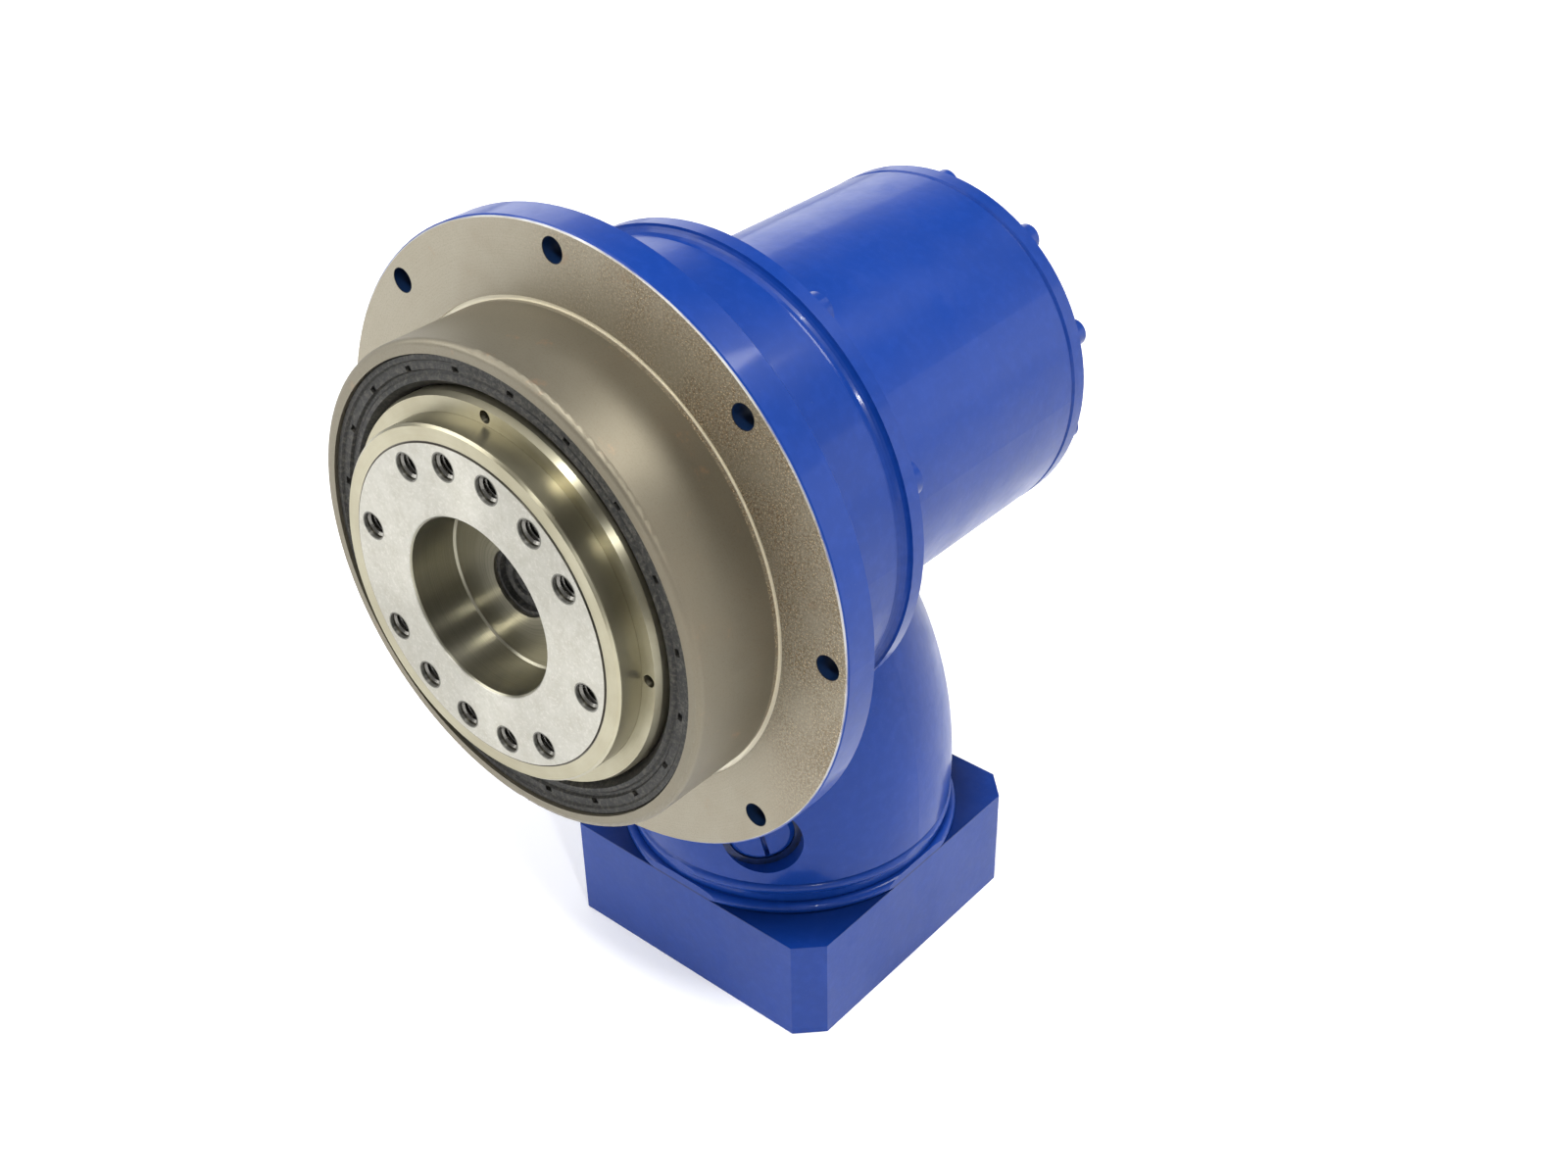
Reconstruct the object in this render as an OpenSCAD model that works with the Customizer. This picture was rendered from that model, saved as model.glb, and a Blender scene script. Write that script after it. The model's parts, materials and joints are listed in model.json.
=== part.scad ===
// Right-angle planetary servo reducer, built as an assembly of separate pieces.
// Millimetres. The origin is where the output axis crosses the mating face of the mounting flange.
// The output flange faces -Y, the motor adapter faces -Z, and the rear cover faces +Y.

/* [Output flange] */
// Distance from the mating face to the output face
out_face = 29; // [28:0.5:30]
// Diameter of the output pilot
out_pilot_d = 80; // [78:1:81]
// Diameter of the centring bore in the output face
out_bore_d = 40; // [36:1:44]
// Depth of the centring bore
out_bore_depth = 12; // [10:0.5:13]
// Bolt circle of the output threads
out_pcd = 63; // [60:0.5:66]
// Nominal diameter of the output threads
out_thread_d = 6; // [4:1:6]
// Turn of the output flange at rest
out_turn = 8.4; // [0:0.1:22.5]

/* [Mounting flange] */
// Diameter of the mounting pilot
pilot_d = 110; // [109:0.5:111]
// Diameter of the mounting flange
flange_d = 145; // [143:1:155]
// Thickness of the mounting flange
flange_t = 9; // [7:0.5:12]
// Bolt circle of the mounting flange
flange_pcd = 135; // [132:1:136]
// Diameter of the flange holes
flange_hole_d = 5.5; // [4.5:0.5:6.6]

/* [Angle housing] */
// Distance from the mating face to the input axis
input_y = 66; // [66:0.5:66]
// Diameter of the rear cylinder
rear_d = 90; // [89:0.5:92]
// Distance from the mating face to the back of the rear cover
rear_y = 125; // [124.5:0.5:127]

/* [Motor adapter] */
// Width of the square adapter
adapter_w = 85; // [85:1:100]
// Height of the square part of the adapter
adapter_h = 29.5; // [28:0.5:32]
// Corner chamfer of the adapter
adapter_ch = 6.3; // [2:0.1:8]
// Diameter of the motor pilot bore
motor_pilot_d = 70; // [70:0.5:72]
// Bolt circle of the motor threads
motor_pcd = 90; // [90:1:95]
// Nominal diameter of the motor threads
motor_thread_d = 6; // [5:1:6]
// Diameter of the motor shaft bore
motor_shaft_d = 19; // [14:1:19]

/* [Hidden] */
$fn = 96;

// Colours
blue = [0.10, 0.20, 0.62];
steel = [0.72, 0.70, 0.66];
bright = [0.80, 0.80, 0.80];
dark = [0.30, 0.30, 0.32];
rubber = [0.10, 0.10, 0.11];
brass = [0.72, 0.58, 0.30];

// Planetary stage
mod_p = 1.25;
z_sun = 18;
z_planet = 27;
z_ring = 72;
orbit = mod_p * (z_sun + z_planet) / 2;
planet_y0 = 1;
planet_y1 = 19;
carrier_r = 36;
carrier_y1 = 38;
pin_r = 5;
roller_r = 1;
roller_gap = 0.06;

// Bevel stage
mod_b = 1.5;
z_pinion = 15;
z_wheel = 45;
cone_pinion = atan(z_pinion / z_wheel);
cone_wheel = 90 - cone_pinion;
cone_dist = mod_b * z_wheel / 2 / sin(cone_wheel);
face_k = 0.705;

// Main bearings: outer radius, inner radius, pitch radius, ball radius, centre, width
front_b = [50.5, 36, 43.25, 3.75, -8.5, 13];
rear_b = [46.5, 36, 41.25, 3, 28, 12];
wheel_b = [23.5, 12.5, 18, 3.2, 12];
pinion_b = [21, 10, 15.5, 3, 12];
wheel_front_y = 48;
wheel_rear_y = 104;
pinion_upper_z = -48;
pinion_lower_z = -63;
ball_gap = 0.12;

// Housings
pilot_front = -22.5;
pilot_round = 1.4;
joint_y = 37;
band_r = 56.2;
rear_flange_r = 57.9;
rear_flange_y = 44;
cover_y = rear_y - 5.7;
rear_r = rear_d / 2;
cavity_r = 37;
housing_screw_r = 51;
screw_angles = [15, 60, 105, 150, 195, 330];
cover_screw_r = 40.5;
joint_z = -104;
adapter_z = -142;
adapter_top = adapter_z + adapter_h;
adapter_screw_r = 31;
hub_cavity_r = 27;

// Access plug
plug_dir = -45;
plug_off = 9.8;
plug_z = -90.3;
plug_r = 8.2;
plug_face = 38.8;

// Clamping hub
hub_screw_off = 15.5;

// A cylinder along Y
module ycyl(y0, y1, r) {
    translate([0, y1, 0]) rotate([90, 0, 0]) cylinder(h = y1 - y0, r = r);
}

// A solid of revolution about the output axis from a profile in radius and Y
module yrev() {
    rotate([-90, 0, 0]) rotate_extrude() children();
}

// A plate across the output axis from an outline in X and Z
module yplate(y0, y1) {
    translate([0, y1, 0]) rotate([90, 0, 0]) linear_extrude(height = y1 - y0) children();
}

// A copy at an angle about the output axis
module at_y(a, r) {
    rotate([0, -a, 0]) translate([r, 0, 0]) children();
}

// A ring across the local Z axis
module zring(z0, z1, ro, ri) {
    translate([0, 0, z0]) difference() {
        cylinder(h = z1 - z0, r = ro);
        translate([0, 0, -1]) cylinder(h = z1 - z0 + 2, r = ri);
    }
}

// The input axis frame
module at_input() {
    translate([0, input_y, 0]) children();
}

// The access bore frame, with local Z pointing out of the housing
module at_plug() {
    at_input() rotate([0, 0, plug_dir]) translate([0, -plug_off, plug_z]) rotate([0, 90, 0]) children();
}

// A socket head cap screw along local Z, its head from 0 upwards
module cap_screw(d, len, key) {
    difference() {
        union() {
            translate([0, 0, -len]) cylinder(h = len + 0.01, r = d / 2);
            cylinder(h = d - 0.4, r = d * 0.85);
            translate([0, 0, d - 0.4]) cylinder(h = 0.4, r1 = d * 0.85, r2 = d * 0.85 - 0.4);
        }
        translate([0, 0, d * 0.5]) linear_extrude(height = d) circle(r = key / 2 / cos(30), $fn = 6);
    }
}

// Involute helpers
function inv_deg(a) = tan(a) * 180 / PI - a;
function half_tooth(r, z, m, s) = let(rp = m * z / 2, rb = rp * cos(20))
    s / 2 / rp * 180 / PI + inv_deg(20) - inv_deg(acos(min(1, rb / r)));

// Outline of a gear with one tooth on the +X axis
function gear_pts(z, m, root, tip, s) = [
    for (i = [0:z - 1])
        for (j = [0:9])
            let(k = j < 5 ? j : 9 - j)
            let(r = root + (tip - root) * k / 4)
            let(a = i * 360 / z + (j < 5 ? -1 : 1) * half_tooth(r, z, m, s))
            [r * cos(a), r * sin(a)]
];

// A point on a cone's end, at height h from the pitch cone and scale k towards the apex
function cone_pt(a, h, k, d) = let(r = k * (cone_dist * sin(d) + h * cos(d)))
    [r * cos(a), r * sin(a), k * (cone_dist * cos(d) - h * sin(d))];

// One end of a straight bevel gear as azimuth and height
function bevel_ring(z, d, s) = [
    for (i = [0:z - 1])
        for (j = [0:5])
            let(k = j < 3 ? j : 5 - j)
            let(h = mod_b * (-1.2 + 2.15 * k / 2))
            let(zv = z / cos(d))
            let(a = half_tooth(mod_b * zv / 2 + h, zv, mod_b, s) / cos(d))
            [i * 360 / z + (j < 3 ? -1 : 1) * a, h]
];

// The toothed band of a straight bevel gear, its apex at the origin and opening along +Z
module bevel_band(z, d, hb, s) {
    p = bevel_ring(z, d, s);
    n = len(p);
    pts = concat(
        [for (q = p) cone_pt(q[0], hb, 1, d)],
        [for (q = p) cone_pt(q[0], q[1], 1, d)],
        [for (q = p) cone_pt(q[0], q[1], face_k, d)],
        [for (q = p) cone_pt(q[0], hb, face_k, d)]
    );
    faces = concat(
        [for (i = [0:n - 1]) [n + (i + 1) % n, n + i, i]],
        [for (i = [0:n - 1]) [(i + 1) % n, n + (i + 1) % n, i]],
        [for (i = [0:n - 1]) [n + (i + 1) % n, 2 * n + (i + 1) % n, 2 * n + i, n + i]],
        [for (i = [0:n - 1]) [2 * n + (i + 1) % n, 3 * n + i, 2 * n + i]],
        [for (i = [0:n - 1]) [2 * n + (i + 1) % n, 3 * n + (i + 1) % n, 3 * n + i]],
        [for (i = [0:n - 1]) [3 * n + (i + 1) % n, (i + 1) % n, i, 3 * n + i]]
    );
    polyhedron(points = pts, faces = faces, convexity = 10);
}

// Bearing parts about local Z, centred on the origin
module outer_race(ro, rp, rb, w) {
    rotate_extrude() difference() {
        translate([rp + rb * 0.5, -w / 2]) square([ro - rp - rb * 0.5, w]);
        translate([rp, 0]) circle(r = rb + ball_gap);
    }
}

module inner_race(ri, rp, rb, w) {
    rotate_extrude() difference() {
        translate([ri, -w / 2]) square([rp - rb * 0.5 - ri, w]);
        translate([rp, 0]) circle(r = rb + ball_gap);
    }
}

module ball_set(n, rp, rb) {
    for (i = [0:n - 1]) rotate([0, 0, i * 360 / n]) translate([rp, 0, 0]) sphere(r = rb);
}

module ball_cage(n, rp, rb) {
    difference() {
        zring(-rb - 0.9, rb + 0.9, rp + rb * 0.28, rp - rb * 0.28);
        for (i = [0:n - 1]) rotate([0, 0, i * 360 / n]) translate([rp - rb, 0, 0])
            rotate([0, 90, 0]) cylinder(h = 2 * rb, r = rb + 0.05);
    }
}

// Places a bearing part at a Y position on the output axis
module on_y(y) {
    translate([0, y, 0]) rotate([-90, 0, 0]) children();
}

// Places a bearing part at a Z position on the input axis
module on_z(z) {
    at_input() translate([0, 0, z]) children();
}

// ---- Front housing and what sits in it ----

module front_housing() {
    color(blue) difference() {
        yrev() union() {
            translate([pilot_d / 2 - pilot_round, pilot_front + pilot_round]) circle(r = pilot_round);
            polygon([
                [52, pilot_front], [pilot_d / 2 - pilot_round, pilot_front],
                [pilot_d / 2, pilot_front + pilot_round], [pilot_d / 2, 0.4], [pilot_d / 2 + 1, 0.4],
                [pilot_d / 2 + 1, 0], [flange_d / 2 - 0.6, 0], [flange_d / 2, 0.6],
                [flange_d / 2, flange_t - 0.8], [flange_d / 2 - 0.8, flange_t],
                [band_r + 1.5, flange_t], [band_r, flange_t + 1.5], [band_r, joint_y - 0.5],
                [band_r - 0.5, joint_y], [46.5, joint_y], [46.5, 22], [45, 22], [45, 20],
                [50.5, 20], [50.5, -15.5], [52, -15.5]
            ]);
        }
        for (i = [0:7]) at_y(i * 45, flange_pcd / 2) ycyl(-1, flange_t + 1, flange_hole_d / 2);
        for (a = screw_angles) at_y(a, housing_screw_r) ycyl(24, joint_y + 1, 2.5);
    }
}

module ring_gear() {
    color(steel) yplate(-2, 20) difference() {
        circle(r = 50.5);
        rotate(90) polygon(gear_pts(z_ring, mod_p, 45 - mod_p * 0.88, 46.6, PI * mod_p / 2 + 0.16));
    }
}

module output_seal() {
    color(rubber) difference() {
        yrev() polygon([
            [52, -21.4], [51.6, -21.8], [50.6, -21.8], [50.2, -21.3], [48.4, -21.3],
            [48, -20.7], [47.4, -20.7], [46.9, -21.2], [46, -21.2], [44.9, -19.8],
            [44.22, -18.6], [44.22, -18], [45.4, -16.9], [45.4, -15.5], [52, -15.5]
        ]);
        for (i = [0:19]) at_y(8 + i * 18, 48.9) translate([-0.6, -21.9, -0.9]) cube([1.2, 1.4, 1.8]);
    }
}

module front_bearing_outer_race() {
    color(bright) on_y(front_b[4]) outer_race(front_b[0], front_b[2], front_b[3], front_b[5]);
}

module rear_bearing_outer_race() {
    color(bright) on_y(rear_b[4]) outer_race(rear_b[0], rear_b[2], rear_b[3], rear_b[5]);
}

module housing_o_ring() {
    color(rubber) yrev() translate([45.72, 35.6]) circle(r = 0.75, $fn = 32);
}

// ---- Angle housing and what sits in it ----

module bevel_housing() {
    color(blue) difference() {
        union() {
            yrev() polygon([
                [0, 34], [46.5, 34], [46.5, joint_y],
                for (a = [0:15:90]) [rear_flange_r - 2.5 * cos(a), joint_y + 2.8 * sin(a)],
                [rear_flange_r, rear_flange_y - 0.5], [rear_flange_r - 0.5, rear_flange_y],
                [rear_r + 1.2, rear_flange_y], [rear_r, rear_flange_y + 1.2],
                [rear_r, cover_y - 0.3], [rear_r - 0.3, cover_y], [0, cover_y]
            ]);
            difference() {
                at_input() rotate_extrude() intersection() {
                    translate([-84.4, -97]) circle(r = 127);
                    translate([0, joint_z]) square([60, 96]);
                }
                ycyl(0, joint_y, rear_flange_r + 0.4);
            }
        }
        // output side: register, nut space, bearing seat and shoulder
        ycyl(33, 39.5, 42);
        yrev() translate([44.9, 34.8]) square([3, 1.6]);
        ycyl(39, 54, 23.5);
        ycyl(40.4, 42, 24.6);
        ycyl(53, 60, 21);
        ycyl(58, cover_y + 1, cavity_r);
        // pinion space
        at_input() translate([0, 0, -42.5]) cylinder(h = 18, r = 16.5);
        at_input() translate([0, 0, -26]) cylinder(h = 6, r = 10.8);
        // pinion bearings, seal and hub space
        at_input() translate([0, 0, -80.5]) cylinder(h = 38.5, r = pinion_b[0]);
        at_input() translate([0, 0, -70.5]) cylinder(h = 1.5, r = pinion_b[0] + 1);
        at_input() translate([0, 0, joint_z - 1]) cylinder(h = 25, r = hub_cavity_r);
        // fastener threads
        for (a = screw_angles) at_y(a, housing_screw_r) ycyl(joint_y - 1, rear_flange_y + 1, 2.75);
        for (i = [0:9]) at_y(18 + i * 36, cover_screw_r) ycyl(cover_y - 11, cover_y + 1, 2);
        for (i = [0:3]) at_input() rotate([0, 0, i * 90]) translate([adapter_screw_r, 0, joint_z - 1])
            cylinder(h = 11, r = 2);
        // access bore with its spot face
        at_plug() translate([0, 0, 24]) cylinder(h = 30, r = plug_r);
        at_plug() translate([0, 0, plug_face - 0.4]) cylinder(h = 20, r = 10);
    }
}

module housing_screws() {
    color(blue) for (a = screw_angles)
        at_y(a, housing_screw_r) translate([0, rear_flange_y, 0]) rotate([-90, 0, 0]) cap_screw(5, 18, 4);
}

module wheel_front_bearing_outer_race() {
    color(bright) on_y(wheel_front_y) outer_race(wheel_b[0], wheel_b[2], wheel_b[3], wheel_b[4]);
}

module wheel_rear_bearing_outer_race() {
    color(bright) on_y(wheel_rear_y) outer_race(wheel_b[0], wheel_b[2], wheel_b[3], wheel_b[4]);
}

module wheel_bearing_circlip() {
    color(dark) yplate(40.4, 42) difference() {
        circle(r = 24.6);
        circle(r = 21.4);
        translate([0, 18]) square([7, 18], center = true);
    }
}

module pinion_upper_bearing_outer_race() {
    color(bright) on_z(pinion_upper_z) outer_race(pinion_b[0], pinion_b[2], pinion_b[3], pinion_b[4]);
}

module pinion_lower_bearing_outer_race() {
    color(bright) on_z(pinion_lower_z) outer_race(pinion_b[0], pinion_b[2], pinion_b[3], pinion_b[4]);
}

module pinion_outer_spacer() {
    color(steel) at_input() zring(-57, -54, pinion_b[0], 18.4);
}

module pinion_bearing_circlip() {
    color(dark) at_input() translate([0, 0, -70.5]) linear_extrude(height = 1.5) difference() {
        circle(r = 22);
        circle(r = 18.6);
        translate([16, 0]) square([16, 6], center = true);
    }
}

module input_seal() {
    color(rubber) at_input() rotate_extrude() polygon([
        [21, -79.5], [21, -73.8], [14.8, -73.8], [14.4, -76], [13.12, -76.6],
        [13.12, -77.2], [14.4, -78.6], [15.4, -79.5]
    ]);
}

module rear_cover() {
    color(blue) difference() {
        yrev() polygon([
            [0, 122], [17, 122], [17, 110], [23.5, 110], [23.5, 97], [29, 97], [cavity_r - 1, 105],
            [cavity_r, 106], [cavity_r, 112], [cavity_r - 1.7, 112], [cavity_r - 1.7, 114],
            [cavity_r, 114], [cavity_r, cover_y], [rear_r - 0.5, cover_y], [rear_r - 0.5, cover_y + 0.5],
            [rear_r + 0.1, cover_y + 1], [rear_r + 0.1, rear_y - 0.8], [rear_r - 0.7, rear_y],
            [27, rear_y], [26, rear_y - 0.8], [0, rear_y - 0.8]
        ]);
        for (i = [0:9]) at_y(18 + i * 36, cover_screw_r) ycyl(cover_y - 1, rear_y + 1, 2.2);
    }
}

module cover_o_ring() {
    color(rubber) yrev() translate([cavity_r - 0.85, 113]) circle(r = 0.84, $fn = 32);
}

module cover_screws() {
    color(blue) for (i = [0:9])
        at_y(18 + i * 36, cover_screw_r) translate([0, rear_y, 0]) rotate([-90, 0, 0]) cap_screw(4, 14, 3);
}

// ---- Motor adapter ----

module adapter_outline() {
    w = adapter_w / 2;
    c = w - adapter_ch;
    polygon([[w, -c], [w, c], [c, w], [-c, w], [-w, c], [-w, -c], [-c, -w], [c, -w]]);
}

module motor_adapter() {
    color(blue) at_input() difference() {
        union() {
            translate([0, 0, adapter_z]) linear_extrude(height = adapter_h) adapter_outline();
            intersection() {
                translate([0, 0, adapter_top - 1]) linear_extrude(height = 20) adapter_outline();
                rotate_extrude() union() {
                    translate([0, adapter_top - 1]) square([41.8, joint_z - adapter_top + 1]);
                    translate([40.9, joint_z - 2]) circle(r = 1.9);
                    translate([42.5, adapter_top + 1.1]) circle(r = 1.5);
                }
            }
        }
        translate([0, 0, adapter_z - 1]) cylinder(h = 27, r = motor_pilot_d / 2);
        translate([0, 0, -117]) cylinder(h = 14, r = hub_cavity_r);
        for (i = [0:3]) rotate([0, 0, 45 + i * 90]) translate([motor_pcd / 2, 0, adapter_z - 1])
            cylinder(h = 21, r = motor_thread_d / 2);
        for (i = [0:3]) rotate([0, 0, i * 90]) translate([adapter_screw_r, 0, -117]) {
            cylinder(h = 14, r = 2.25);
            cylinder(h = 5.5, r = 3.7);
        }
    }
}

module adapter_screws() {
    color(dark) for (i = [0:3])
        at_input() rotate([0, 0, i * 90]) translate([adapter_screw_r, 0, -111.5]) rotate([180, 0, 0])
            cap_screw(4, 16, 3);
}

// ---- Output flange and planets ----

module output_flange() {
    f = -out_face;
    br = out_bore_d / 2;
    pr = out_pilot_d / 2;
    floor_y = f + out_bore_depth;
    color(steel) difference() {
        yrev() polygon([
            [8, floor_y], [br - 0.5, floor_y], [br, floor_y - 0.4], [br, f + 0.5], [br + 0.5, f],
            [36.1, f], [36.1, f + 0.5], [36.4, f + 0.5], [36.4, f + 0.25], [pr - 0.5, f + 0.25],
            [pr, f + 0.75], [pr, -22.7], [43.5, -22.7], [44.1, -21.2], [44.1, -15],
            [carrier_r, -15], [carrier_r, 34], [35, 34], [35, carrier_y1 - 0.6],
            [34.4, carrier_y1], [13.5, carrier_y1], [13.5, -8], [8, -8]
        ]);
        for (a = [90, 210, 330]) at_y(a, orbit) ycyl(0, 20, 18.7);
        for (a = [90, 210, 330]) at_y(a, orbit) ycyl(-7, carrier_y1 + 1, pin_r);
        for (i = [1, 2, 3, 4, 5, 7, 9, 10, 11, 12, 13, 15]) at_y(out_turn + i * 22.5, out_pcd / 2)
            ycyl(f - 1, f + 12, out_thread_d / 2);
        for (a = [-11.25, 78.75]) at_y(out_turn + a, 41.9) ycyl(-24, -17, 1.4);
    }
}

module planet_pins() {
    color(bright) for (a = [90, 210, 330]) at_y(a, orbit) ycyl(-7, 36, pin_r);
}

module planet_washers() {
    color(brass) for (a = [90, 210, 330]) at_y(a, orbit) {
        on_y(0) zring(0, 0.8, 9, pin_r);
        on_y(0) zring(19.2, 20, 9, pin_r);
    }
}

module front_bearing_inner_race() {
    color(bright) on_y(front_b[4]) inner_race(front_b[1], front_b[2], front_b[3], front_b[5]);
}

module rear_bearing_inner_race() {
    color(bright) on_y(rear_b[4]) inner_race(rear_b[1], rear_b[2], rear_b[3], rear_b[5]);
}

module bearing_nut() {
    color(dark) difference() {
        on_y(0) zring(34, 38, 39.4, 35);
        for (i = [0:3]) at_y(45 + i * 90, 39) translate([-1.6, 33, -2.5]) cube([5, 6, 5]);
    }
}

module bore_plug() {
    color(rubber) yrev() polygon([
        [0, -15.2], [3.2, -15.2], [3.6, -15.8], [5, -15.8], [5.4, -15], [6.6, -15],
        [7, -16.2], [8, -16.2], [8, -9], [0, -9]
    ]);
}

module planet_gear(a) {
    color(steel) at_y(a, orbit) yplate(planet_y0, planet_y1) difference() {
        polygon(gear_pts(z_planet, mod_p, mod_p * (z_planet / 2 - 1.25), mod_p * (z_planet / 2 + 0.97),
            PI * mod_p / 2 - 0.12));
        circle(r = pin_r + 2 * roller_r + 2 * roller_gap);
    }
}

module planet_rollers(a) {
    color(bright) at_y(a, orbit) for (i = [0:14]) at_y(i * 24, pin_r + roller_gap + roller_r)
        ycyl(planet_y0 + 0.5, planet_y1 - 0.5, roller_r);
}

module planet_gear_1() {
    planet_gear(90);
}

module planet_rollers_1() {
    planet_rollers(90);
}

module planet_gear_2() {
    planet_gear(210);
}

module planet_rollers_2() {
    planet_rollers(210);
}

module planet_gear_3() {
    planet_gear(330);
}

module planet_rollers_3() {
    planet_rollers(330);
}

// ---- Sun shaft with the bevel wheel ----

module sun_shaft() {
    color(steel) difference() {
        union() {
            yplate(planet_y0, planet_y1 + 1) rotate(90)
                polygon(gear_pts(z_sun, mod_p, mod_p * (z_sun / 2 - 1.25), mod_p * (z_sun / 2 + 0.96),
                    PI * mod_p / 2 - 0.12));
            yrev() polygon([
                [0, planet_y0 - 0.5], [8.5, planet_y0 - 0.5], [9.4, planet_y0], [9.4, 24],
                [11.4, 27], [11.4, 41], [12.5, 42], [12.5, 54], [16, 54], [16, 76], [14, 76],
                [14, 95], [12.5, 95], [12.5, 110], [12, 110], [12, 115.4], [11.4, 116], [0, 116]
            ]);
        }
        translate([-3, 79, 11]) cube([6, 14, 8]);
    }
}

module bevel_wheel() {
    color(steel) difference() {
        translate([0, input_y, 0]) rotate([-90, 0, 0]) union() {
            rotate([0, 0, 90]) bevel_band(z_wheel, cone_wheel, -3.95, PI * mod_b / 2 - 0.14);
            rotate_extrude() polygon([
                [14, 10], [23.2, 10], [32.4, 14.6], [32.4, 16.5], [24, 20], [20, 22], [20, 29], [14, 29]
            ]);
        }
        translate([-3, 70, 0]) cube([6, 30, 16.6]);
    }
}

module wheel_key() {
    color(dark) translate([-3, 79, 11]) cube([6, 14, 5.6]);
}

module wheel_front_bearing_inner_race() {
    color(bright) on_y(wheel_front_y) inner_race(wheel_b[1], wheel_b[2], wheel_b[3], wheel_b[4]);
}

module wheel_rear_bearing_inner_race() {
    color(bright) on_y(wheel_rear_y) inner_race(wheel_b[1], wheel_b[2], wheel_b[3], wheel_b[4]);
}

module wheel_spacer() {
    color(steel) on_y(0) zring(95, 98, 16, 12.5);
}

module shaft_nut() {
    color(dark) difference() {
        on_y(0) zring(110, 115, 16, 12);
        for (i = [0:3]) at_y(45 + i * 90, 15) translate([-1, 109, -2]) cube([4, 7, 4]);
    }
}

// ---- Input pinion with the clamping hub ----

module bevel_pinion() {
    color(steel) at_input() difference() {
        union() {
            rotate([180, 0, 0]) rotate([0, 0, -78])
                bevel_band(z_pinion, cone_pinion, -5.5, PI * mod_b / 2 - 0.14);
            rotate_extrude() polygon([
                [0, -22.9], [5.7, -22.9], [6.3, -23.5], [6.3, -36.2], [13, -36.2], [13, -42], [10, -42],
                [10, -69], [9.5, -69], [9.5, -73], [8.5, -73], [8.5, -83.5], [8, -84], [0, -84]
            ]);
        }
        rotate([0, 0, 45]) translate([6.3, -2, -82.5]) cube([5, 4, 8]);
    }
}

module pinion_upper_bearing_inner_race() {
    color(bright) on_z(pinion_upper_z) inner_race(pinion_b[1], pinion_b[2], pinion_b[3], pinion_b[4]);
}

module pinion_lower_bearing_inner_race() {
    color(bright) on_z(pinion_lower_z) inner_race(pinion_b[1], pinion_b[2], pinion_b[3], pinion_b[4]);
}

module pinion_inner_spacer() {
    color(steel) at_input() zring(-57, -54, 13, 10);
}

module pinion_nut() {
    color(dark) at_input() difference() {
        zring(-73, -69, 14, 9.5);
        for (i = [0:3]) rotate([0, 0, i * 90]) translate([12.6, -1.75, -74]) cube([3, 3.5, 6]);
    }
}

module clamping_hub() {
    color(bright) at_input() difference() {
        union() {
            translate([0, 0, -82.5]) cylinder(h = 9.5, r = 13);
            translate([0, 0, -97]) cylinder(h = 15, r = 23);
            translate([0, 0, -106]) cylinder(h = 10, r = 14);
        }
        translate([0, 0, -85]) cylinder(h = 13, r = 8.5);
        translate([0, 0, -107]) cylinder(h = 22, r = motor_shaft_d / 2);
        rotate([0, 0, 45]) translate([6.3, -2, -86]) cube([4, 4, 14]);
        rotate([0, 0, -135]) translate([5, -1, -107]) cube([20, 2, 24.5]);
        rotate([0, 0, plug_dir]) translate([0, -hub_screw_off, plug_z]) rotate([0, 90, 0]) {
            translate([0, 0, -24]) cylinder(h = 48, r = 3);
            translate([0, 0, 6.5]) cylinder(h = 20, r = 5.2);
        }
    }
}

module hub_key() {
    color(dark) at_input() rotate([0, 0, 45]) translate([6.3, -2, -82.5]) cube([4, 4, 8]);
}

module hub_clamp_screw() {
    color(dark) at_input() rotate([0, 0, plug_dir]) translate([6.5, -hub_screw_off, plug_z])
        rotate([0, 90, 0]) cap_screw(6, 20, 5);
}

// ---- Rolling elements ----

module front_bearing_balls() {
    color(bright) on_y(front_b[4]) ball_set(24, front_b[2], front_b[3]);
}

module front_bearing_cage() {
    color(brass) on_y(front_b[4]) ball_cage(24, front_b[2], front_b[3]);
}

module rear_bearing_balls() {
    color(bright) on_y(rear_b[4]) ball_set(28, rear_b[2], rear_b[3]);
}

module rear_bearing_cage() {
    color(brass) on_y(rear_b[4]) ball_cage(28, rear_b[2], rear_b[3]);
}

module wheel_bearing_balls() {
    color(bright) {
        on_y(wheel_front_y) ball_set(11, wheel_b[2], wheel_b[3]);
        on_y(wheel_rear_y) ball_set(11, wheel_b[2], wheel_b[3]);
    }
}

module wheel_bearing_cages() {
    color(brass) {
        on_y(wheel_front_y) ball_cage(11, wheel_b[2], wheel_b[3]);
        on_y(wheel_rear_y) ball_cage(11, wheel_b[2], wheel_b[3]);
    }
}

module pinion_bearing_balls() {
    color(bright) {
        on_z(pinion_upper_z) ball_set(10, pinion_b[2], pinion_b[3]);
        on_z(pinion_lower_z) ball_set(10, pinion_b[2], pinion_b[3]);
    }
}

module pinion_bearing_cages() {
    color(brass) {
        on_z(pinion_upper_z) ball_cage(10, pinion_b[2], pinion_b[3]);
        on_z(pinion_lower_z) ball_cage(10, pinion_b[2], pinion_b[3]);
    }
}

// ---- Access plug ----

module access_plug() {
    color(blue) at_plug() difference() {
        union() {
            translate([0, 0, plug_face - 8]) cylinder(h = 7, r = plug_r - 0.05);
            translate([0, 0, plug_face - 1]) cylinder(h = 1, r1 = plug_r - 0.05, r2 = plug_r - 1.3);
        }
        translate([0, 0, plug_face - 5.2]) zring(0, 2, plug_r + 1, plug_r - 1.8);
        rotate([0, 0, 12]) translate([-7, -0.6, plug_face - 2]) cube([14, 1.2, 3]);
    }
}

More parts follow.
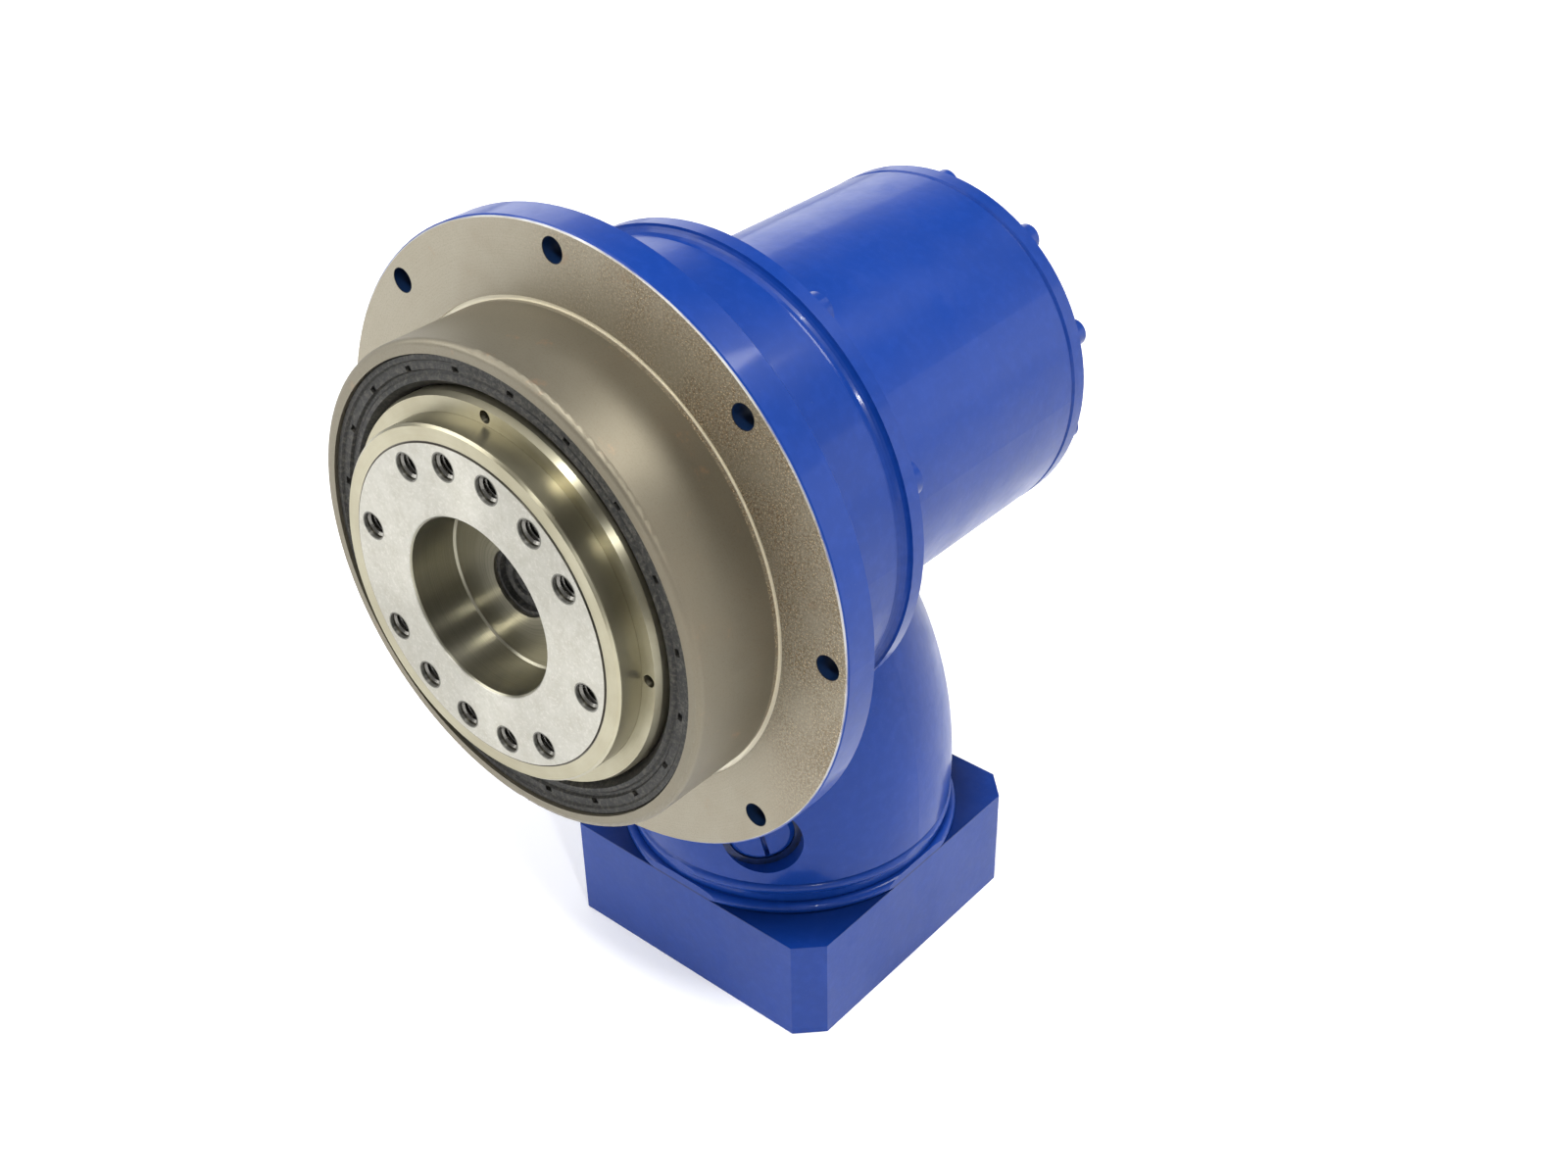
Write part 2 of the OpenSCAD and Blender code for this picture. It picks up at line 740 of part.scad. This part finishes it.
module access_plug_o_ring() {
    color(rubber) at_plug() translate([0, 0, plug_face - 4.2]) rotate_extrude()
        translate([plug_r - 0.9, 0]) circle(r = 0.85, $fn = 32);
}

front_housing();
ring_gear();
output_seal();
front_bearing_outer_race();
rear_bearing_outer_race();
housing_o_ring();
bevel_housing();
housing_screws();
wheel_front_bearing_outer_race();
wheel_rear_bearing_outer_race();
wheel_bearing_circlip();
pinion_upper_bearing_outer_race();
pinion_lower_bearing_outer_race();
pinion_outer_spacer();
pinion_bearing_circlip();
input_seal();
rear_cover();
cover_o_ring();
cover_screws();
motor_adapter();
adapter_screws();
output_flange();
planet_pins();
planet_washers();
front_bearing_inner_race();
rear_bearing_inner_race();
bearing_nut();
bore_plug();
planet_gear_1();
planet_rollers_1();
planet_gear_2();
planet_rollers_2();
planet_gear_3();
planet_rollers_3();
sun_shaft();
bevel_wheel();
wheel_key();
wheel_front_bearing_inner_race();
wheel_rear_bearing_inner_race();
wheel_spacer();
shaft_nut();
bevel_pinion();
pinion_upper_bearing_inner_race();
pinion_lower_bearing_inner_race();
pinion_inner_spacer();
pinion_nut();
clamping_hub();
hub_key();
hub_clamp_screw();
front_bearing_balls();
front_bearing_cage();
rear_bearing_balls();
rear_bearing_cage();
wheel_bearing_balls();
wheel_bearing_cages();
pinion_bearing_balls();
pinion_bearing_cages();
access_plug();
access_plug_o_ring();
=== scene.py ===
import json
import math

import bmesh
import bpy
from mathutils import Matrix, Vector


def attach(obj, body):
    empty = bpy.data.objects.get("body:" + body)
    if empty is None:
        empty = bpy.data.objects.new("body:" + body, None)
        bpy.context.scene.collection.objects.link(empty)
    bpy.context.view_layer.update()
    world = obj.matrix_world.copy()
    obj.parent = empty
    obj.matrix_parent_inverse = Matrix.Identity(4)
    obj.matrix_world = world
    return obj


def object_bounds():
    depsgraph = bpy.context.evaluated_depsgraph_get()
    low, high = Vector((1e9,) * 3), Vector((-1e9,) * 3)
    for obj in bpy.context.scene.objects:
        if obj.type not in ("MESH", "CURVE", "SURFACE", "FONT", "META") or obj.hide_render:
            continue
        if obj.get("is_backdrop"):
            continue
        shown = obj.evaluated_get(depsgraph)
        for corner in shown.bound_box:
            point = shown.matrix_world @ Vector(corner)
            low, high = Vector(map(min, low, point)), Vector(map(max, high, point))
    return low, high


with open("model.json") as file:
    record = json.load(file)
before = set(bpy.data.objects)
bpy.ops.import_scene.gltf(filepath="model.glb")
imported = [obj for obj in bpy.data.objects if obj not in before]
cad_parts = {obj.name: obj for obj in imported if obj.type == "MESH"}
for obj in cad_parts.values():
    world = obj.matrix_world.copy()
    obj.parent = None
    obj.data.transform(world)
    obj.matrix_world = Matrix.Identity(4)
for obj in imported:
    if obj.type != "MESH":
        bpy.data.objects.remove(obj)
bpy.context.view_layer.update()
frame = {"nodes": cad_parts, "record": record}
MM = 0.001


# ---- camera ----
# Azimuth, elevation and roll in degrees, place in metres, and focal length in widths of the frame
CAMERA_TURN = (40.99, 33.99, -1.15)
CAMERA_AT = (0.24954, -0.22173, 0.2120)
CAMERA_FOCAL = 1902 / 1600
SENSOR = 36


def make_camera():
    """The camera at the angle, distance and focal length of the photo."""
    az, el, roll = (math.radians(v) for v in CAMERA_TURN)
    back = Vector((math.sin(az) * math.cos(el), -math.cos(az) * math.cos(el), math.sin(el)))
    right = (-back).cross(Vector((0, 0, 1))).normalized()
    up = right.cross(-back)
    x = right * math.cos(roll) + up * math.sin(roll)
    y = up * math.cos(roll) - right * math.sin(roll)
    cam = bpy.data.objects.new("camera", bpy.data.cameras.new("camera"))
    bpy.context.scene.collection.objects.link(cam)
    rot = Matrix((x, y, back)).transposed().to_4x4()
    cam.matrix_world = Matrix.Translation(Vector(CAMERA_AT)) @ rot
    cam.data.sensor_width = SENSOR
    cam.data.lens = SENSOR * CAMERA_FOCAL
    cam.data.clip_start = 0.01
    cam.data.clip_end = 50
    bpy.context.scene.camera = cam


make_camera()


# ---- node helpers ----
class Graph:
    """Short names for the nodes of one node tree; values may be sockets, numbers or tuples."""

    def __init__(self, nt, coords="Object"):
        self.nt = nt
        self.pos = nt.nodes.new("ShaderNodeTexCoord").outputs[coords]

    def put(self, socket, v):
        """Link v to the socket, or set it as the socket's constant."""
        if isinstance(v, bpy.types.NodeSocket):
            self.nt.links.new(v, socket)
        elif v is not None:
            wide = hasattr(socket.default_value, "__len__") and len(socket.default_value) == 4
            if wide and len(v) == 3:
                v = (*v, 1)
            socket.default_value = v

    def math(self, op, a, b=None, c=None):
        n = self.nt.nodes.new("ShaderNodeMath")
        n.operation = op
        for s, v in zip(n.inputs, (a, b, c)):
            self.put(s, v)
        return n.outputs[0]

    def mul(self, a, b):
        return self.math("MULTIPLY", a, b)

    def add(self, a, b):
        return self.math("ADD", a, b)

    def sub(self, a, b):
        return self.math("SUBTRACT", a, b)

    def less(self, a, b):
        return self.math("LESS_THAN", a, b)

    def more(self, a, b):
        return self.math("GREATER_THAN", a, b)

    def near(self, v, at, reach):
        """1 where v is within reach of at."""
        return self.less(self.math("ABSOLUTE", self.sub(v, at)), reach)

    def length(self, a, b):
        """Length of the vector (a, b)."""
        return self.math("SQRT", self.add(self.mul(a, a), self.mul(b, b)))

    def vmath(self, op, a, b=None, out=0):
        n = self.nt.nodes.new("ShaderNodeVectorMath")
        n.operation = op
        self.put(n.inputs[0], a)
        self.put(n.inputs[1], b)
        return n.outputs[out]

    def xyz(self, v=None):
        n = self.nt.nodes.new("ShaderNodeSeparateXYZ")
        self.put(n.inputs[0], v or self.pos)
        return n.outputs

    def vec(self, x, y, z):
        n = self.nt.nodes.new("ShaderNodeCombineXYZ")
        for s, v in zip(n.inputs, (x, y, z)):
            self.put(s, v)
        return n.outputs[0]

    def noise(self, scale, detail=3, rough=0.55, v=None, out=0):
        n = self.nt.nodes.new("ShaderNodeTexNoise")
        self.put(n.inputs["Vector"], v or self.pos)
        self.put(n.inputs["Scale"], scale)
        self.put(n.inputs["Detail"], detail)
        self.put(n.inputs["Roughness"], rough)
        return n.outputs[out]

    def fit(self, v, a, b, c=0.0, d=1.0, smooth=False):
        """v mapped from a..b to c..d and clamped there."""
        n = self.nt.nodes.new("ShaderNodeMapRange")
        n.interpolation_type = "SMOOTHSTEP" if smooth else "LINEAR"
        for s, x in zip(n.inputs, (v, a, b, c, d)):
            self.put(s, x)
        return n.outputs[0]

    def mix(self, f, a, b, mode="MIX"):
        n = self.nt.nodes.new("ShaderNodeMix")
        n.data_type = "RGBA"
        n.blend_type = mode
        self.put(n.inputs[0], f)
        self.put(n.inputs[6], a)
        self.put(n.inputs[7], b)
        return n.outputs[2]

    def mixf(self, f, a, b):
        n = self.nt.nodes.new("ShaderNodeMix")
        self.put(n.inputs[0], f)
        self.put(n.inputs[2], a)
        self.put(n.inputs[3], b)
        return n.outputs[0]

    def polar(self):
        """Radius and height along the output axis, in millimetres."""
        p = self.xyz()
        return self.mul(self.length(p[0], p[2]), 1000), self.mul(p[1], 1000)


class Mat(Graph):
    """A procedural material under construction."""

    def __init__(self, name):
        self.mat = bpy.data.materials.new(name)
        self.mat.use_nodes = True
        nt = self.mat.node_tree
        nt.nodes.clear()
        out = nt.nodes.new("ShaderNodeOutputMaterial")
        self.sh = nt.nodes.new("ShaderNodeBsdfPrincipled")
        nt.links.new(self.sh.outputs[0], out.inputs[0])
        self.bumps = []
        super().__init__(nt)

    def bump(self, h, strength, dist):
        """Add a bump on top of the ones so far."""
        n = self.nt.nodes.new("ShaderNodeBump")
        n.inputs["Strength"].default_value = strength
        n.inputs["Distance"].default_value = dist
        self.put(n.inputs["Height"], h)
        if self.bumps:
            self.put(n.inputs["Normal"], self.bumps[-1])
        self.bumps.append(n.outputs[0])
        self.put(self.sh.inputs["Normal"], n.outputs[0])

    def set(self, **k):
        """Set inputs of the shader by name, with _ for a space."""
        for key, v in k.items():
            self.put(self.sh.inputs[key.replace("_", " ")], v)


# ---- materials ----
# The blue enamel: its base colour, the weight of its clear coat and its other constants
BLUE = (0.0034, 0.032, 0.208)
COAT = 0.22
ENAMEL = {"IOR": 1.45, "Specular_IOR_Level": 0.15, "Coat_Roughness": 0.09}

# Places where shade is painted, in metres: round the access plug, and at the foot of the column
PLUG_AT = (-6.93 * MM, 59.07 * MM, -90.3 * MM)
PLUG_OUT = (0.7071068, -0.7071068, 0.0)
FOOT_AT = (0.0, 66 * MM, -112.5 * MM)


def plug_recess(m):
    """1 in the ring around the access plug, where the recess is painted dark as shade."""
    d = m.vmath("SUBTRACT", m.pos, PLUG_AT)
    out = m.vmath("DOT_PRODUCT", d, PLUG_OUT, out=1)
    side = m.vmath("DOT_PRODUCT", d, (PLUG_OUT[0], -PLUG_OUT[1], 0.0), out=1)
    up = m.xyz(d)[2]
    ring = m.near(m.length(side, up), 9.05 * MM, 0.90 * MM)
    return m.mul(ring, m.more(out, 25 * MM))


def foot_painted_shade(m):
    """1 on the adapter's top next to the column, fading outwards, where shade is painted."""
    d = m.xyz(m.vmath("SUBTRACT", m.pos, FOOT_AT))
    fade = m.fit(m.length(d[0], d[1]), 46 * MM, 57 * MM, 1.0, 0.0)
    return m.mul(m.near(d[2], 0.0, 0.3 * MM), fade)


def paint_look(m):
    """Colour and roughness of the blue enamel."""
    big = m.noise(14, 4, 0.6)
    fine = m.noise(420, 2, 0.5)
    dust = m.fit(m.noise(2600, 2, 0.7), 0.66, 0.80)
    scuff = m.mul(m.fit(m.noise(60, 5, 0.65), 0.60, 0.72), 0.35)
    c = m.mix(m.fit(big, 0.3, 0.7), tuple(v * 0.88 for v in BLUE), tuple(v * 1.10 for v in BLUE))
    c = m.mix(m.mul(m.fit(fine, 0.45, 0.75), 0.18), c, tuple(v * 1.5 + 0.01 for v in BLUE))
    c = m.mix(m.mul(dust, 0.12), c, (0.30, 0.32, 0.38))
    # Painted shade: the recess round the access plug is darkened almost to black
    plug_ring_shade = m.mul(plug_recess(m), m.fit(m.noise(700, 4, 0.7), 0.30, 0.62, 0.95, 0.70))
    c = m.mix(plug_ring_shade, c, (0.006, 0.009, 0.018))
    # Painted shade: the adapter's top next to the column is darkened towards deep blue
    c = m.mix(m.mul(foot_painted_shade(m), 0.65), c, (0.0012, 0.008, 0.055))
    rough = m.add(m.fit(m.noise(90, 4, 0.6), 0.3, 0.7, 0.30, 0.42), m.mul(scuff, 0.25))
    return c, rough


def paint(name):
    """Blue enamel with its orange peel."""
    m = Mat(name)
    c, rough = paint_look(m)
    m.set(Base_Color=c, Roughness=rough, Coat_Weight=COAT, **ENAMEL)
    m.bump(m.noise(900, 2, 0.5), 0.10, 0.00012)
    m.bump(m.noise(240, 3, 0.5), 0.12, 0.0004)
    return m.mat


# Millimetres on the front housing: where the pilot's wall ends and the flange face begins, how far
# back the metal is bare, the relief groove at the pilot's foot with its painted highlight, and the
# flange's worn outer edge
FACE_FROM = -0.9
BARE_TO = 0.18
GROOVE_R, GROOVE_Y, GROOVE_HALF = 56.4, 0.3, 0.25
EDGE_R, EDGE_Y, EDGE_HALF = 71.6, 0.16, 0.16


def bare_look(m, r, y):
    """Colour, roughness, lathe lines and grain of the housing's turned faces, with brown haze, and
    painted shade on the pilot's wall that is darker towards its right.
    """
    p = m.xyz()
    lathe = m.noise(1, 2, 0.7, m.vec(m.mul(r, 3.2), m.mul(y, 3.2), 0))
    grain = m.noise(2600, 2, 0.7)
    haze = m.noise(30, 5, 0.62)
    face = m.more(y, FACE_FROM)
    side = m.fit(m.add(p[0], m.mul(p[2], 0.55)), 0.015, 0.072, smooth=True)
    patch = m.mul(m.mul(side, face), m.fit(m.noise(60, 4, 0.6), 0.38, 0.62, 0.35, 1.0))
    c = m.mix(m.fit(haze, 0.34, 0.68), (0.290, 0.262, 0.200), (0.360, 0.334, 0.268))
    c = m.mix(m.mul(m.fit(lathe, 0.4, 0.7), 0.16), c, (0.46, 0.43, 0.36))
    # Painted shade: the pilot's wall is darker than the flange face
    c = m.mix(m.mul(m.sub(1, face), 0.70), c, (0.160, 0.145, 0.108))
    c = m.mix(m.mul(m.fit(grain, 0.50, 0.68), 0.22), c, (0.14, 0.11, 0.07))
    c = m.mix(m.mul(patch, 0.38), c, (0.150, 0.120, 0.075))
    # Painted shade and reflection: the pilot's wall is darker still towards its right side
    c = m.mix(m.mul(m.mul(side, m.sub(1, face)), 0.30), c, (0.095, 0.078, 0.050))
    speck = m.mul(m.fit(m.noise(1500, 4, 0.8), 0.44, 0.56), m.mul(patch, 0.80))
    c = m.mix(speck, c, (0.150, 0.102, 0.055))
    pale = m.mul(m.fit(m.noise(2900, 2, 0.6), 0.58, 0.64), m.mul(patch, 0.90))
    c = m.mix(pale, c, (0.78, 0.62, 0.40))
    rust = m.mul(m.fit(m.noise(130, 6, 0.7), 0.62, 0.70), 0.40)
    c = m.mix(rust, c, (0.34, 0.205, 0.125))
    smear = m.mul(m.fit(m.noise(16, 5, 0.6), 0.50, 0.66), 0.35)
    c = m.mix(smear, c, (0.215, 0.175, 0.120))
    rough = m.add(m.fit(haze, 0.3, 0.7, 0.46, 0.56), m.mul(speck, 0.2))
    return c, rough, lathe, grain


FLANGE_BOLTS = next(k["dims"] for k in frame["record"]["mounts"] if k["name"] == "flange_bolts")


def flange_holes(m, r):
    """1 on the walls of the eight through holes of the mounting flange, which are painted dark as
    shade.
    """
    p = m.xyz()
    turn = m.math("PINGPONG", m.math("ARCTAN2", p[2], p[0]), math.pi / 8)
    side = m.mul(r, m.math("SINE", turn))
    out = m.sub(m.mul(r, m.math("COSINE", turn)), FLANGE_BOLTS["pcd_mm"] / 2)
    d = m.add(m.mul(side, side), m.mul(out, out))
    return m.less(d, (FLANGE_BOLTS["hole_r_mm"] + 0.08) ** 2)


def front_housing_mat():
    """Bare turned metal in front, blue enamel behind it."""
    m = Mat("front_housing_look")
    r, y = m.polar()
    pc, pr = paint_look(m)
    bc, br, lathe, grain = bare_look(m, r, y)
    wob = m.mul(m.sub(m.noise(300, 3, 0.6), 0.5), 0.35)
    bare = m.less(m.add(y, wob), BARE_TO)
    groove = m.mul(m.less(r, GROOVE_R), m.near(y, GROOVE_Y, GROOVE_HALF))
    bare = m.math("MAXIMUM", bare, groove)
    edge = m.mul(m.near(y, EDGE_Y, EDGE_HALF), m.more(r, EDGE_R))
    edge = m.mul(edge, m.fit(m.noise(45, 4, 0.6), 0.40, 0.60, 0.15, 0.85))
    c = m.mix(bare, pc, bc)
    c = m.mix(edge, c, (0.50, 0.50, 0.48))
    # Painted highlight: the groove at the pilot's foot is painted as a pale, lit line
    c = m.mix(m.mul(groove, 0.80), c, (0.74, 0.70, 0.58))
    # Painted shade: the walls of the flange's bolt holes are darkened almost to black
    c = m.mix(m.mul(flange_holes(m, r), 0.9), c, (0.004, 0.012, 0.028))
    metal = m.mul(m.math("MAXIMUM", bare, edge), 0.85)
    m.set(Base_Color=c, Roughness=m.mixf(bare, pr, br), Metallic=metal,
          Coat_Weight=m.mul(m.sub(1, bare), COAT), **ENAMEL)
    m.bump(m.mixf(bare, m.noise(900, 2, 0.5), grain), 0.10, 0.00012)
    m.bump(m.mul(lathe, bare), 0.20, 0.00006)
    return m.mat


# Turns the highlight across the lathe lines
TURNED = 0.25


def tangent(m, axis="Y"):
    """Lathe lines that run round the given axis."""
    t = m.nt.nodes.new("ShaderNodeTangent")
    t.direction_type = "RADIAL"
    t.axis = axis
    m.put(m.sh.inputs["Tangent"], t.outputs[0])


def thread_mouths(m):
    """1 on the chamfers and walls of the threaded holes, which are painted dark as shade."""
    flat = m.vmath("MULTIPLY", m.pos, (1.0, 0.0, 1.0))
    near = 1.0
    for mount in frame["record"]["mounts"]:
        if mount["kind"] == "threaded_hole":
            at = (mount["pos_m"][0], 0.0, mount["pos_m"][2])
            near = m.math("MINIMUM", near, m.vmath("DISTANCE", flat, at, out=1))
    return m.less(near, 3.3 * MM)


# Millimetres on the output flange: radius and front of its ground disc, the dark gap round the disc,
# the centring bore, the wall of the outer pilot, and the step between the disc and that wall
DISC_R, DISC_Y = 36.25, -28.3
GAP_HALF = 0.22
BORE_R = 20.3
WALL_R, WALL_HALF = 40.0, 0.12
STEP_Y = -27.9


def output_mat():
    """Turned steel with a ground disc in front."""
    m = Mat("output_flange_look")
    r, y = m.polar()
    line = m.noise(1, 3, 0.75, m.vec(m.mul(r, 5.5), m.mul(y, 5.5), 0))
    cloud = m.noise(55, 4, 0.6)
    disc = m.mul(m.less(y, DISC_Y), m.less(r, DISC_R))
    gap = m.mul(m.less(y, STEP_Y), m.near(r, DISC_R, GAP_HALF))
    inside = m.less(r, BORE_R)
    ground = m.mix(m.fit(cloud, 0.3, 0.7), (0.400, 0.390, 0.345), (0.500, 0.490, 0.440))
    stain = m.mul(m.fit(m.noise(330, 5, 0.7), 0.42, 0.66), 0.45)
    ground = m.mix(stain, ground, (0.350, 0.330, 0.275))
    glint = m.mul(m.fit(m.noise(1300, 3, 0.8), 0.52, 0.66), 0.40)
    ground = m.mix(glint, ground, (0.62, 0.61, 0.56))
    yellow = m.mix(m.fit(cloud, 0.35, 0.7), (0.300, 0.275, 0.190), (0.385, 0.360, 0.265))
    yellow = m.mix(m.mul(m.fit(line, 0.45, 0.65), 0.18), yellow, (0.50, 0.48, 0.38))
    hole = m.mix(m.fit(line, 0.35, 0.65), (0.205, 0.195, 0.150), (0.285, 0.270, 0.210))
    wall = m.mul(m.near(r, WALL_R, WALL_HALF), m.more(y, STEP_Y))
    yellow = m.mix(m.mul(wall, 0.6), yellow, (0.20, 0.185, 0.13))
    c = m.mix(inside, m.mix(disc, yellow, ground), hole)
    spot = m.fit(m.noise(700, 4, 0.7), 0.66, 0.74)
    c = m.mix(m.mul(spot, 0.35), c, (0.22, 0.18, 0.12))
    c = m.mix(gap, c, (0.13, 0.12, 0.10))
    # Painted shade: the mouths and walls of the threaded holes are darkened
    c = m.mix(m.mul(thread_mouths(m), 0.65), c, (0.05, 0.05, 0.045))
    rough = m.mixf(disc, m.fit(line, 0.3, 0.7, 0.28, 0.36), m.fit(cloud, 0.3, 0.7, 0.44, 0.54))
    m.set(Base_Color=c, Metallic=1.0, Roughness=m.mixf(inside, rough, 0.31), Anisotropic=0.8,
          Anisotropic_Rotation=TURNED)
    tangent(m)
    m.bump(line, 0.05, 0.00005)
    m.bump(m.noise(1400, 3, 0.6), 0.05, 0.00006)
    return m.mat


def steel(name, base, rough=0.28, aniso=0.4, axis="Y"):
    """Turned steel of the given base colour, with its lathe lines round the axis."""
    m = Mat(name)
    r, y = m.polar()
    line = m.noise(1, 3, 0.7, m.vec(m.mul(r, 4.0), m.mul(y, 4.0), 0))
    cloud = m.noise(70, 4, 0.6)
    dark, pale = tuple(v * 0.85 for v in base), tuple(min(1, v * 1.12) for v in base)
    c = m.mix(m.fit(cloud, 0.3, 0.7), dark, pale)
    c = m.mix(m.mul(m.fit(m.noise(600, 4, 0.7), 0.62, 0.72), 0.3), c, tuple(v * 0.4 for v in base))
    m.set(Base_Color=c, Metallic=1.0, Roughness=m.fit(cloud, 0.25, 0.75, rough * 0.85, rough * 1.2),
          Anisotropic=aniso, Anisotropic_Rotation=TURNED)
    tangent(m, axis)
    m.bump(line, 0.15, 0.00005)
    return m.mat


def rubber(name, base):
    """Dusty black rubber."""
    m = Mat(name)
    dust = m.fit(m.noise(1100, 4, 0.7), 0.46, 0.72)
    cloud = m.noise(90, 4, 0.6)
    c = m.mix(m.fit(cloud, 0.3, 0.7), tuple(v * 0.7 for v in base), tuple(v * 1.5 for v in base))
    c = m.mix(m.mul(dust, 0.35), c, (0.17, 0.155, 0.125))
    m.set(Base_Color=c, Roughness=m.fit(cloud, 0.3, 0.7, 0.46, 0.64), IOR=1.5,
          Specular_IOR_Level=0.30)
    m.bump(m.noise(1500, 3, 0.6), 0.2, 0.00008)
    return m.mat


# One look for each material slot of the record; the front housing has its own
LOOKS = {
    "housing_paint": paint("blue_paint"),
    "screw_paint": paint("blue_paint_screws"),
    "black_screw": steel("black_oxide", (0.045, 0.045, 0.05), 0.38, 0.0),
    "ground_steel": output_mat(),
    "gear_steel": steel("gear_steel_look", (0.48, 0.48, 0.47), 0.30),
    "bearing_steel": steel("bearing_steel_look", (0.70, 0.70, 0.71), 0.12),
    "turned_steel": steel("turned_steel_look", (0.58, 0.58, 0.57), 0.26, axis="Z"),
    "dark_steel": steel("dark_steel_look", (0.14, 0.14, 0.15), 0.34),
    "bronze": steel("bronze_look", (0.58, 0.40, 0.17), 0.28),
    "seal_rubber": rubber("seal_rubber_look", (0.011, 0.011, 0.010)),
    "plug_rubber": rubber("plug_rubber_look", (0.018, 0.018, 0.018)),
}
FRONT_LOOK = front_housing_mat()
SLOTS = {s["node"]: s["material_slot"] for s in frame["record"]["subparts"]}
for name, ob in frame["nodes"].items():
    look = FRONT_LOOK if name == "front_housing" else LOOKS[SLOTS[name]]
    ob.data.materials.clear()
    ob.data.materials.append(look)


# ---- mesh helpers ----
def piece(name, bm, body, look):
    """Make bm a piece that rides on the body and fills the material slot."""
    me = bpy.data.meshes.new(name)
    bm.normal_update()
    bm.to_mesh(me)
    bm.free()
    ob = bpy.data.objects.new(name, me)
    bpy.context.scene.collection.objects.link(ob)
    me.materials.append(look)
    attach(ob, body)


def add_thread(bm, at, y0, y1, r_out, r_in, pitch, seg=28):
    """A thread ridge in a hole along Y, wound from y0 to y1, in metres."""
    turns = int((y1 - y0) / pitch * seg)
    prev = None
    for i in range(turns + 1):
        t = i / seg
        a = 2 * math.pi * t
        y = y0 + t * pitch
        fade = min(1.0, i / 10, (turns - i) / 10)
        ri = r_out + (r_in - r_out) * fade
        foot = r_out + 0.04 * MM
        section = ((foot, -0.47), (ri, -0.06), (ri, 0.06), (foot, 0.47))
        ring = [
            bm.verts.new((at[0] + rr * math.cos(a), y + dy * pitch, at[1] + rr * math.sin(a)))
            for rr, dy in section
        ]
        if prev:
            for k in range(3):
                bm.faces.new((prev[k], prev[k + 1], ring[k + 1], ring[k]))
        prev = ring


# ---- threads of the output flange ----
# Where they start and end along Y, their outer and inner radii and their pitch, in metres
THREAD_FRONT, THREAD_END = -28.0 * MM, -17.4 * MM
THREAD_R, THREAD_CORE, THREAD_PITCH = 3.0 * MM, 2.45 * MM, 1.0 * MM

threads = bmesh.new()
for mount in frame["record"]["mounts"]:
    if mount["kind"] == "threaded_hole":
        x, z = mount["pos_m"][0], mount["pos_m"][2]
        add_thread(threads, (x, z), THREAD_FRONT, THREAD_END, THREAD_R, THREAD_CORE, THREAD_PITCH)
# The thread ridges get a much darker steel than the flange: painted shade inside the holes
THREAD_LOOK = steel("thread_steel", (0.17, 0.165, 0.15), 0.27, 0.0)
piece("output_thread_ridges", threads, "output", THREAD_LOOK)


# ---- light, floor and world ----
# Strength of the world: everywhere, added from the horizon down, and added there behind the part
WORLD = (0.05, 0.48, 0.35)


def area(name, loc, target, size, power):
    """A soft rectangular lamp at loc that points at the target, in metres and watts."""
    lamp = bpy.data.lights.new(name, "AREA")
    lamp.shape = "RECTANGLE"
    lamp.size, lamp.size_y = size
    lamp.energy = power
    ob = bpy.data.objects.new(name, lamp)
    bpy.context.scene.collection.objects.link(ob)
    ob.location = loc
    ob.rotation_euler = (Vector(target) - Vector(loc)).to_track_quat("-Z", "Y").to_euler()


def stage():
    """The pale floor under the part, and the world's light."""
    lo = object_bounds()[0]
    bm = bmesh.new()
    bmesh.ops.create_grid(bm, x_segments=8, y_segments=8, size=3.0)
    me = bpy.data.meshes.new("floor")
    bm.to_mesh(me)
    bm.free()
    floor = bpy.data.objects.new("floor", me)
    floor.location = (0, 0, lo.z - 0.0001)
    bpy.context.scene.collection.objects.link(floor)
    m = Mat("floor_look")
    m.set(Base_Color=m.mix(m.noise(3), (0.93, 0.93, 0.93), (0.95, 0.95, 0.95)), Roughness=0.9,
          Emission_Color=(1, 1, 1), Emission_Strength=0.16)
    me.materials.append(m.mat)
    floor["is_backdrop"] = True
    world = bpy.data.worlds.new("studio")
    world.use_nodes = True
    nt = world.node_tree
    w = Graph(nt, "Generated")
    d = w.xyz()
    low = w.fit(d[2], 0.62, 0.30, smooth=True)
    back = w.mul(w.fit(d[1], -0.3, 0.5, smooth=True), low)
    level = w.add(WORLD[0], w.add(w.mul(low, WORLD[1]), w.mul(back, WORLD[2])))
    nt.nodes["Background"].inputs[0].default_value = (1, 1, 1, 1)
    nt.links.new(level, nt.nodes["Background"].inputs[1])
    scene = bpy.context.scene
    scene.world = world
    scene.view_settings.view_transform = "Standard"
    scene.view_settings.look = "None"


stage()
area("top", (-0.35, -0.15, 1.3), (0, 0.03, -0.05), (1.3, 1.3), 9.5)
area("overhead", (0.29, -0.48, 1.06), (0, 0.02, 0), (0.11, 0.11), 9)
area("right_small", (0.88, -0.48, 0.62), (0, 0.02, 0), (0.08, 0.08), 3.5)
area("front_left", (-1.0, -0.8, 0.7), (-0.1, 0, -0.14), (0.9, 0.9), 12)
area("rim_left", (-1.3, 1.5, 0.45), (0, 0.06, 0), (2.2, 0.9), 8)
area("rim_right", (1.3, 1.3, 0.2), (0.03, 0.06, -0.08), (2.0, 0.8), 6)
area("back_right", (0.55, 0.75, 1.2), (0.35, 0.5, -0.14), (0.5, 0.5), 14)
